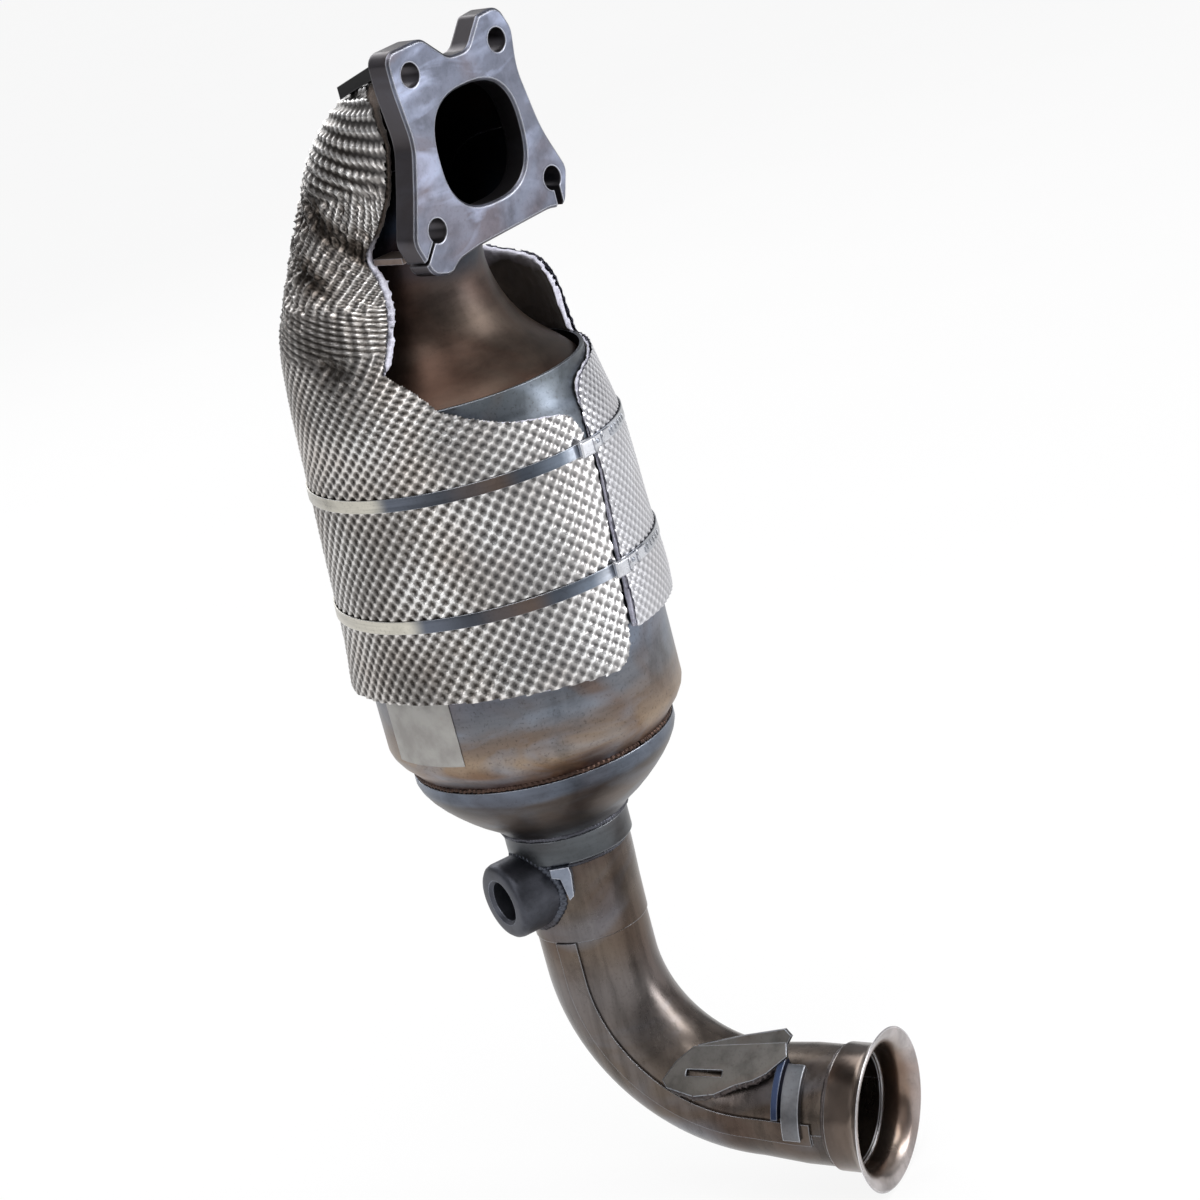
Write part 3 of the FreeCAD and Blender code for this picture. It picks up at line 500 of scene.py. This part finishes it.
DRUM = (((-10.3, -119.0), (114.3, -119.0), 62.3, 2.0), ((-11.5, -143.0), (115.5, -143.0), 63.5, 2.0),
        ((-12.5, -167.0), (116.5, -167.0), 64.5, 2.0), ((-13.2, -186.0), (117.8, -186.0), 65.6, 2.0),
        ((-13.8, -206.0), (120.0, -206.0), 67.0, 2.0))
FAN_SAMPLES = 200
# folds pinched into the hood: place (y, z) of the middle, how many, reach (all mm) and seed
HOOD_FOLDS = (((56.0, -17.0), 9, 14.0, 11), ((72.0, -12.0), 7, 11.0, 12), ((42.0, -27.0), 8, 11.0, 13),
              ((66.0, -34.0), 7, 12.0, 15), ((48.0, -66.0), 7, 10.0, 14))
DEEPEST_FOLD = 2.6


def fan_at(fan, t):
    """Smoothly interpolated section of a fan."""
    i = min(int(t), len(fan) - 2)
    f = t - i
    rows = [fan[max(0, min(len(fan) - 1, i + k))] for k in (-1, 0, 1, 2)]
    a, b, c, d = [np.array([*front, *back, half, power]) for front, back, half, power in rows]
    square, cube = 2 * a - 5 * b + 4 * c - d, 3 * b - a - 3 * c + d
    return 0.5 * ((2 * b) + (c - a) * f + square * f * f + cube * f ** 3)


def fan_grid(fan, step):
    """Sections of a fan about one step apart, from the hood down."""
    places = np.arange(FAN_SAMPLES + 1) / FAN_SAMPLES * (len(fan) - 1)
    table = [fan_at(fan, t) for t in places]
    mids = [(r[:2] + r[2:4]) / 2 for r in table]
    backs = [r[2:4] for r in table]
    run = [0.0]
    for k in range(FAN_SAMPLES):
        moved = np.linalg.norm(mids[k + 1] - mids[k]) + np.linalg.norm(backs[k + 1] - backs[k])
        run.append(run[-1] + 0.5 * moved)
    count = int(run[-1] / step)
    return [fan_at(fan, np.interp(run[-1] * k / count, run, places)) for k in range(count + 1)]


def section_point(row, angle):
    """Point of a section and the section's centre: angle 0 is the front, 90 the -X side, 180 the back."""
    y1, z1, y2, z2, half, power = row
    c, s = math.cos(angle), math.sin(angle)
    cy, cz = (y1 + y2) / 2, (z1 + z2) / 2
    ax, az = (y1 - y2) / 2, (z1 - z2) / 2
    k = math.copysign(abs(c) ** (2 / power), c)
    m = math.copysign(abs(s) ** (2 / power), s)
    return Vector((-m * half, cy + k * ax, cz + k * az)) * MM, Vector((0, cy, cz)) * MM


def blend(v, low, high):
    t = np.clip((v - low) / (high - low), 0.0, 1.0)
    return t * t * (3 - 2 * t)


def wave(v):
    """1 at whole numbers, 0 halfway between them."""
    return 0.5 + 0.5 * np.cos(2 * np.pi * v)


def emboss(p, q, z, pitch, hood):
    """Height 0..1 of the rolled pattern at a place on the unrolled sheet, in mm.

    Crossed ridges with square pits on the drum; on the hood they are stretched into level rows
    of dashes, and into slanted rows where the hood runs down to the drum."""
    a = wave((p + q) / math.sqrt(2) / pitch) ** 1.3
    b = wave((p - q) / math.sqrt(2) / pitch) ** 1.3
    net = 0.62 * np.maximum(a, b) + 0.38 * a * b
    if not hood:
        return net
    row = q / 6.0 + 0.09 * np.sin(2 * np.pi * p / 7.0)
    level_rows = wave(row) ** 1.5 * (0.45 + 0.55 * wave(p / 7.0 + 0.5 * np.round(row)))
    lean = (q - 0.34 * p) / 4.7
    slanted = wave(lean) ** 1.3 * (0.45 + 0.55 * wave(p / 4.9 + 0.5 * np.round(lean)))
    tall = blend(z, -12.0, -4.0)
    low = blend(z, -66.0, -61.0) * (1 - blend(z, -50.0, -45.0))
    return net * (1 - tall) * (1 - low) + level_rows * tall + slanted * low * (1 - tall)


def star(p, q, at, count, reach, seed):
    """Radiating pinched folds round one point of the sheet."""
    rng = np.random.default_rng(seed)
    dp, dq = p - at[0], q - at[1]
    r = np.hypot(dp, dq) + 1e-6
    a = np.arctan2(dq, dp)
    fold = np.zeros_like(r)
    for k in range(count):
        th = 2 * np.pi * (k + rng.uniform(-0.3, 0.3)) / count
        away = np.abs(np.sin((a - th) / 2)) * r
        fold = np.maximum(fold, np.exp(-(away / rng.uniform(1.6, 3.2)) ** 2) * (np.cos(a - th) > 0))
    return fold * np.exp(-(r / reach) ** 2)


def cast_rows(tree, rows, turns):
    """Throws every grid point at the CAD foil.

    Gives the points and their normals, the places on the unrolled sheet (mm, each section laid
    straight from its first point) and which points met the foil."""
    shape = (len(rows), len(turns))
    points, normals = np.zeros((*shape, 3)), np.zeros((*shape, 3))
    sheet, met = np.zeros((*shape, 2)), np.zeros(shape, bool)
    for i, row in enumerate(rows):
        outline = []
        for j, turn in enumerate(turns):
            p, c = section_point(row, turn)
            outline.append(p)
            d = p - c
            back = -d.normalized()
            hit, normal = tree.ray_cast(c + d * 1.12, back, d.length * 0.45)[:2]
            met[i, j] = hit is not None
            if met[i, j]:
                points[i, j], normals[i, j] = hit, -normal if normal.dot(back) > 0 else normal
            else:
                points[i, j], normals[i, j] = p, -back
        arc = np.zeros(len(turns))
        arc[1:] = np.cumsum(np.linalg.norm(np.diff(np.array(outline), axis=0), axis=1)) / MM
        front, rear = row[:2], row[2:4]
        along = (rear - front) / np.linalg.norm(rear - front)
        sheet[i] = (front + rear) / 2 + arc[:, None] * along
    return points, normals, sheet, met


def softened(normals, passes=3):
    """Normals averaged with their neighbours, so the relief does not follow single CAD facets."""
    n = normals
    for _ in range(passes):
        n[1:-1, 1:-1] = (n[1:-1, 1:-1] * 2 + n[:-2, 1:-1] + n[2:, 1:-1] + n[1:-1, :-2] + n[1:-1, 2:]) / 6
    return n / (np.linalg.norm(n, axis=2, keepdims=True) + 1e-12)


def edge_fade(met, passes=8):
    """0 at the sheet's edge, 1 from that many grid steps inside it."""
    within, fade = met.copy(), np.zeros(met.shape)
    for _ in range(passes):
        inner = within.copy()
        inner[1:-1, 1:-1] &= within[:-2, 1:-1] & within[2:, 1:-1] & within[1:-1, :-2] & within[1:-1, 2:]
        within = inner
        fade += within / float(passes)
    return fade


def grid_faces(met):
    """Which grid points belong to a whole cell, and the cells as faces between those points."""
    cell = met[:-1, :-1] & met[1:, :-1] & met[:-1, 1:] & met[1:, 1:]
    keep = np.zeros(met.shape, bool)
    corners = [keep[:-1, :-1], keep[:-1, 1:], keep[1:, 1:], keep[1:, :-1]]
    for corner in corners:
        corner |= cell
    index = -np.ones(met.shape, int)
    index[keep] = np.arange(keep.sum())
    corners = (index[:-1, :-1], index[:-1, 1:], index[1:, 1:], index[1:, :-1])
    return keep, np.stack([corner[cell] for corner in corners], axis=1).tolist()


def foil_sheet(name, fan, node, material, pitch, depth, angles, step, seed, folds=()):
    """Dense sheet on the CAD foil's outer face, embossed and folded inwards only (all in mm)."""
    rows = fan_grid(fan, step)
    a0, a1 = [math.radians(a) for a in angles]
    cols = int(abs(a1 - a0) * max(r[4] for r in rows) / step)
    turns = np.array([a0 + (a1 - a0) * j / cols for j in range(cols + 1)])
    points, normals, sheet, met = cast_rows(tree_of(node), rows, turns)
    normals = softened(normals)
    p, q = sheet[:, :, 0], sheet[:, :, 1]
    height = points[:, :, 2] / MM
    wander, fold, crush, crumple = [np.zeros(met.shape) for _ in range(4)]
    for i, j in zip(*np.nonzero(met)):
        wander[i, j] = noise.noise(Vector((p[i, j] * 0.035, q[i, j] * 0.035, seed)))
    pattern = emboss(p + 1.2 * wander, q + 0.9 * wander, height, pitch, bool(folds))
    for (y, z), count, reach, star_seed in folds:
        away = np.hypot(points[:, :, 1] / MM - y, height - z) + 1e3 * (points[:, :, 0] > 0)
        nearest = np.unravel_index(np.argmin(away), away.shape)
        at = (p[nearest], q[nearest])
        fold = np.maximum(fold, star(p, q, at, count, reach, star_seed))
        crush = np.maximum(crush, np.exp(-(np.hypot(p - at[0], q - at[1]) / reach) ** 2))
    if folds:
        waist = blend(height, -60.0, -46.0) * (1 - blend(height, -8.0, 0.0))
        for i, j in zip(*np.nonzero(met & (waist + crush > 0.05))):
            v = Vector((p[i, j] * 0.085, q[i, j] * 0.085, 4.0))
            crumple[i, j] = abs(noise.noise(v)) + 0.5 * abs(noise.noise(v * 2.3))
        crumple *= np.clip(waist * 0.8 + crush, 0, 1)
    # the relief becomes the foil's colour: high is painted highlight, low painted shade; it is lower in folds
    # and crushed patches
    relief = pattern * (1 - 0.4 * crush) * (0.85 + 0.3 * wander) * (1 - 0.8 * fold)
    full_depth = depth + 0.35 * blend(height, -56.0, -40.0) * bool(folds)
    inward = full_depth * (1 - pattern) * (1 - 0.35 * crush) + 0.25 * np.abs(wander)
    inward += np.minimum(1.9 * fold + 2.6 * crumple, DEEPEST_FOLD) * edge_fade(met)
    points -= normals * (inward * MM)[:, :, None]
    soil = np.clip(crush + 1.2 * crumple, 0, 1) * blend(height, -52.0, -36.0)
    keep, faces = grid_faces(met)
    o = piece(name, points[keep], faces, material)
    for label, field in (("relief", relief), ("soil", soil)):
        attribute = o.data.attributes.new(label, "FLOAT", "POINT")
        attribute.data.foreach_set("value", field[keep].astype(np.float32))
    middle = o.data.polygons[len(faces) // 2]
    if (middle.center - Vector((0, CAN_Y, middle.center.z))).dot(middle.normal) < 0:
        o.data.flip_normals()
    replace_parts(o, node)


foil_sheet("shield_left_embossed", HOOD + SHOULDER_L + DRUM, "shield_left_foil", "foil_left",
           pitch=4.0, depth=0.8, angles=(-60.0, 215.0), step=0.78, seed=3, folds=HOOD_FOLDS)
foil_sheet("shield_right_embossed", HOOD + SHOULDER_R + DRUM, "shield_right_foil", "foil_right",
           pitch=3.1, depth=0.5, angles=(10.0, -215.0), step=0.72, seed=8)


# ---------------------------------------------------------------- felt

FELT_VOXEL = 1.25 * MM
UNDER_FOIL = 1.6 * MM      # felt this near the foil, on the side that faces it, is drawn in
WAIST = (-0.08, 0.01)      # heights of the hood's folds


def felt(name, node, cover, seed, waist_push):
    """Fibre blanket: the CAD solid remeshed fine, drawn in (mm) to clear the foil, and roughened."""
    o = bpy.data.objects.new(name, nodes[node].data.copy())
    scene.collection.objects.link(o)
    remesh = o.modifiers.new("voxel", "REMESH")
    remesh.mode = "VOXEL"
    remesh.voxel_size = FELT_VOXEL
    o.modifiers.new("soft", "SMOOTH").iterations = 1
    dg = bpy.context.evaluated_depsgraph_get()
    done = bpy.data.meshes.new_from_object(o.evaluated_get(dg))
    bpy.data.objects.remove(o)
    co = np.zeros(len(done.vertices) * 3, np.float32)
    no = np.zeros_like(co)
    done.vertices.foreach_get("co", co)
    done.vertices.foreach_get("normal", no)
    co, no = co.reshape(-1, 3), no.reshape(-1, 3)
    foil = tree_of(cover)
    push = np.zeros(len(co))
    for k, (c, n) in enumerate(zip(co.tolist(), no.tolist())):
        push[k] = 0.3 + 0.35 * noise.noise(Vector(c) * 330 + Vector((seed, 0, 0)))
        near, facing = foil.find_nearest(Vector(c), UNDER_FOIL)[:2]
        if near is not None and facing.dot(Vector(n)) < -0.6:
            push[k] += 1.1 + (waist_push if WAIST[0] < c[2] < WAIST[1] else 0.4)
    co -= no * (push * MM)[:, None]
    done.vertices.foreach_set("co", co.ravel())
    done.materials.clear()
    done.materials.append(MAT["fibre"])
    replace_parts(show(name, done), node)


felt("shield_left_felt", "shield_left_fibre", "shield_left_foil", 1, 2.5)
felt("shield_right_felt", "shield_right_fibre", "shield_right_foil", 2, 0.4)


# ---------------------------------------------------------------- welds

def round_can(node, z, reach, count, *arc):
    """Ring round the can's axis at one height (mm) on one node."""
    return ring_path(tree_of(node), (0, CAN_Y, z * MM), UP, reach, count, *arc)


duct = tree_of("inlet_front_shell", "inlet_rear_shell")
bead("weld_flange", ring_path(duct, (0, 0.0112, 0), (0, 1, 0), 0.06, 160), 5.0, 2.2, seed=1)
bead("weld_can_cone", round_can("can_shell", -240.7, 0.09, 200), 3.2, 1.5, pitch=2.2, seed=2)
bead("weld_cone_collar", round_can("outlet_cone", -274.5, 0.06, 120), 2.6, 1.0, seed=3)
bead("weld_collar_tube", round_can("downpipe_neck", -287.6, 0.06, 120, 62.0, 390.0), 2.4, 0.9,
     seed=4, closed=False)
pipe_stop = PIPE_POINT + Vector(OUTLET) * 0.0335
pipe = tree_of("elbow_inner_shell", "elbow_outer_shell")
bead("weld_flare_pipe", ring_path(pipe, pipe_stop, OUTLET, 0.045, 120), 2.4, 0.9, seed=5)


def boss_saddle(steps=120):
    """Where the sensor boss meets the neck: a circle seen along the boss, wrapped on the tube."""
    boss, tangent = Vector((-0.9659, 0.2588, 0.0)), Vector((0.2588, 0.9659, 0.0))
    middle = Vector((0, 52.0, -298.5))
    ring, tube = 15.8, 24.0
    path = []
    for k in range(steps + 1):
        a = 2 * math.pi * k / steps
        dx, dz = ring * math.sin(a), ring * math.cos(a)
        p = middle + boss * math.sqrt(tube ** 2 - dx * dx) + tangent * dx + Vector((0, 0, dz))
        path.append((p * MM, (tangent * math.sin(a) + Vector((0, 0, math.cos(a))) + boss * 0.8).normalized()))
    return path


bead("weld_boss", boss_saddle(), 4.6, 2.0, pitch=2.0, seed=6)


def plate_foot(steps=40, tries=24):
    """Lower edge of the bracket plate, along the outlet run: the lowest of a row of rays at each step."""
    lead = Vector(OUTLET)
    rise = Vector((0.0209, -0.081, 0.9965))
    lateral = lead.cross(rise).normalized()
    out = Vector((-0.85, -0.35, -0.3)).normalized()
    plate = tree_of("bracket_plate")
    corners = [v.co - PIPE_POINT for v in nodes["bracket_plate"].data.vertices]
    sides = [c.dot(lateral) for c in corners]
    runs = [c.dot(lead) for c in corners]
    path = []
    for k in range(1, steps):
        start = PIPE_POINT + lead * (min(runs) + (max(runs) - min(runs)) * k / steps) - rise * 0.06
        row = [lateral * (min(sides) + (max(sides) - min(sides)) * n / tries) for n in range(tries + 1)]
        hits = [plate.ray_cast(start + across, rise, 0.12)[0] for across in row]
        hits = [h for h in hits if h is not None]
        if hits:
            path.append((min(hits, key=rise.dot), out))
    return path


bead("weld_bracket", plate_foot(), 3.6, 1.8, pitch=2.4, seed=7, closed=False)


# ---------------------------------------------------------------- label and strap ends

LABEL_LEFT, LABEL_WIDE = -109.0, 35.0    # degrees round the can
LABEL_TOP, LABEL_TALL = -198.0, 28.6     # mm
LABEL_COLUMNS, LABEL_ROWS = 60, 44


def sticker():
    """Bare label on the can, tucked under the left blanket's lower edge."""
    tree = tree_of("can_shell")
    verts, faces = [], []
    for i in range(LABEL_ROWS + 1):
        for j in range(LABEL_COLUMNS + 1):
            a = math.radians(LABEL_LEFT + LABEL_WIDE * j / LABEL_COLUMNS)
            z = (LABEL_TOP - LABEL_TALL * i / LABEL_ROWS) * MM
            d = outward(a)
            hit = tree.ray_cast(Vector((0, CAN_Y, z)) + d * 0.09, -d, 0.09)[0]
            lift = 0.16 + 0.12 * max(0.0, noise.noise(Vector((a * 9, z * 160, 2))))
            if i == LABEL_ROWS or j == LABEL_COLUMNS:
                lift += 0.25 * max(0.0, noise.noise(Vector((a * 14, z * 220, 7))))
            verts.append(hit + d * lift * MM)
    for i in range(LABEL_ROWS):
        for j in range(LABEL_COLUMNS):
            k = i * (LABEL_COLUMNS + 1) + j
            faces.append((k, k + LABEL_COLUMNS + 1, k + LABEL_COLUMNS + 2, k + 1))
    gauge = piece("can_sticker", verts, faces, "paper").modifiers.new("gauge", "SOLIDIFY")
    gauge.thickness = 0.1 * MM
    gauge.offset = 1.0


sticker()


def strap_end(name, strap, buckle):
    """Ridges across the tail of one strap, the ball in its lock head and the head's folded ears."""
    low_corner, high_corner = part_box(buckle)
    mid = (low_corner + high_corner) * 0.5
    head = math.atan2(mid.x, -(mid.y - CAN_Y))
    tree = tree_of(strap, buckle)
    bm = bmesh.new()

    def block(turn, size, lift):
        """Small bevelled block (mm) on the strap, some degrees round the can from the head."""
        d = outward(head + math.radians(turn))
        hit = tree.ray_cast(Vector((0, CAN_Y, mid.z)) + d * 0.09, -d, 0.05)[0]
        if hit is None:
            return
        place = Matrix((UP.cross(d), d, UP)).transposed().to_4x4()
        place.translation = hit + d * lift * MM
        stretch = Matrix.Diagonal((*[v * MM for v in size], 1.0))
        made = bmesh.ops.create_cube(bm, size=1.0, matrix=place @ stretch)
        edges = list({e for v in made["verts"] for e in v.link_edges})
        bmesh.ops.bevel(bm, geom=edges, offset=min(size) * 0.3 * MM, segments=2, affect="EDGES")

    for k in range(6):
        block(9.5 + 3.4 * k, (0.9, 0.6, 2.6), 0.1)
    block(0.6, (1.6, 0.7, 1.6), 0.1)
    on_strap = len(bm.faces)
    for turn in (-3.4, 3.6):
        block(turn, (1.2, 1.0, 5.4), 0.2)
    me = bpy.data.meshes.new(name)
    bm.to_mesh(me)
    bm.free()
    for look in ("strap", "buckle"):
        me.materials.append(MAT[look])
    for f in me.polygons:
        f.material_index = 0 if f.index < on_strap else 1
    show(name, me)


strap_end("upper_strap_end", "upper_strap", "upper_strap_buckle")
strap_end("lower_strap_end", "lower_strap", "lower_strap_buckle")


# ---------------------------------------------------------------- light, floor, camera

WHITE = (1, 1, 1)
FLOOR_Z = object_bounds()[0].z - 0.001
FLOOR_REACH = 9.0


def floor():
    """Pale floor that the camera and reflections see near white; it keeps the object's shadow."""
    g = new_material("floor_look")
    tone = g.ramp(g.noise(g.place(), 6.0, 4.0), [(0.2, 0.84), (0.8, 0.88)])
    body = g.node("BsdfDiffuse", None, Color=tone)
    glow = g.node("Emission", None, Color=WHITE, Strength=1.0)
    rays = g.node("LightPath").outputs
    seen = g.math("MAXIMUM", rays["Is Camera Ray"], rays["Is Glossy Ray"])
    share = g.math("MULTIPLY", seen, 0.88)
    mixed = g.node("MixShader", None, i0=share, i1=body.outputs[0], i2=glow.outputs[0])
    g.put(g.surface, mixed.outputs[0])
    bm = bmesh.new()
    bmesh.ops.create_grid(bm, x_segments=24, y_segments=24, size=FLOOR_REACH)
    me = bpy.data.meshes.new("floor")
    bm.to_mesh(me)
    bm.free()
    me.materials.append(g.owner)
    o = bpy.data.objects.new("floor", me)
    o.location.z = FLOOR_Z
    scene.collection.objects.link(o)


def studio():
    """World: soft grey bands for the metal to reflect, plain white for the camera."""
    world = bpy.data.worlds.new("studio")
    scene.world = world
    g = Graph(world, "ShaderNodeOutputWorld")
    at = g.node("TexCoord").outputs["Generated"]
    rise = g.node("SeparateXYZ", None, i0=at).outputs["Z"]
    rise = g.node("Math", {"operation": "MULTIPLY_ADD"}, i0=rise, i1=0.5, i2=0.5).outputs[0]
    greys = ((0.0, 0.75), (0.42, 0.62), (0.52, 0.30), (0.66, 0.48), (1.0, 1.0))
    tone = g.ramp(rise, [(at_rise, (v, v, v * 1.02)) for at_rise, v in greys], "LINEAR")
    bands = g.level(g.noise(at, 1.6, 1.0, 0.5), 0.4, 0.6, 0.45, 1.15)
    light = g.node("Background", None, Color=tone, Strength=bands)
    white = g.node("Background", None, Color=WHITE, Strength=1.0)
    seen = g.node("LightPath").outputs["Is Camera Ray"]
    mixed = g.node("MixShader", None, i0=seen, i1=light.outputs[0], i2=white.outputs[0])
    g.put(g.surface, mixed.outputs[0])


LAMP_AIM = Vector((0.0, 0.0, -0.18))
LAMPS = (      # place, width, height, power
    ("top_box", (-0.3, -0.5, 1.5), 1.3, 1.3, 20.0),
    ("left_box", (-1.5, -0.1, 0.5), 0.5, 1.4, 5.0),
    ("right_box", (0.9, -1.3, 0.3), 0.5, 1.4, 15.0),
    ("rear_box", (0.6, 1.6, 0.8), 1.2, 1.2, 12.0),
)
CAMERA_AT = Vector((-0.8308, -0.8596, 0.2011))
AZIMUTH, ELEVATION, ROLL = [math.radians(a) for a in (-44.0, 17.699, -14.637)]

floor()
studio()

for name, at, width, tall, power in LAMPS:
    lamp = bpy.data.lights.new(name, "AREA")
    lamp.shape = "RECTANGLE"
    lamp.size = width
    lamp.size_y = tall
    lamp.energy = power
    o = bpy.data.objects.new(name, lamp)
    o.location = at
    o.rotation_euler = (LAMP_AIM - Vector(at)).to_track_quat("-Z", "Y").to_euler()
    scene.collection.objects.link(o)

lens = bpy.data.cameras.new("camera")
lens.lens = 99.0
lens.sensor_width = 36.0
lens.clip_start = 0.05
lens.clip_end = 60.0
camera = bpy.data.objects.new("camera", lens)
backward = outward(AZIMUTH) * math.cos(ELEVATION) + UP * math.sin(ELEVATION)
level = Vector((math.cos(AZIMUTH), math.sin(AZIMUTH), 0.0))
upward = backward.cross(level)
across = math.cos(ROLL) * level + math.sin(ROLL) * upward
top = math.cos(ROLL) * upward - math.sin(ROLL) * level
camera.matrix_world = Matrix.Translation(CAMERA_AT) @ Matrix((across, top, backward)).transposed().to_4x4()
scene.collection.objects.link(camera)
scene.camera = camera
scene.view_settings.view_transform = "Standard"

bpy.context.view_layer.update()
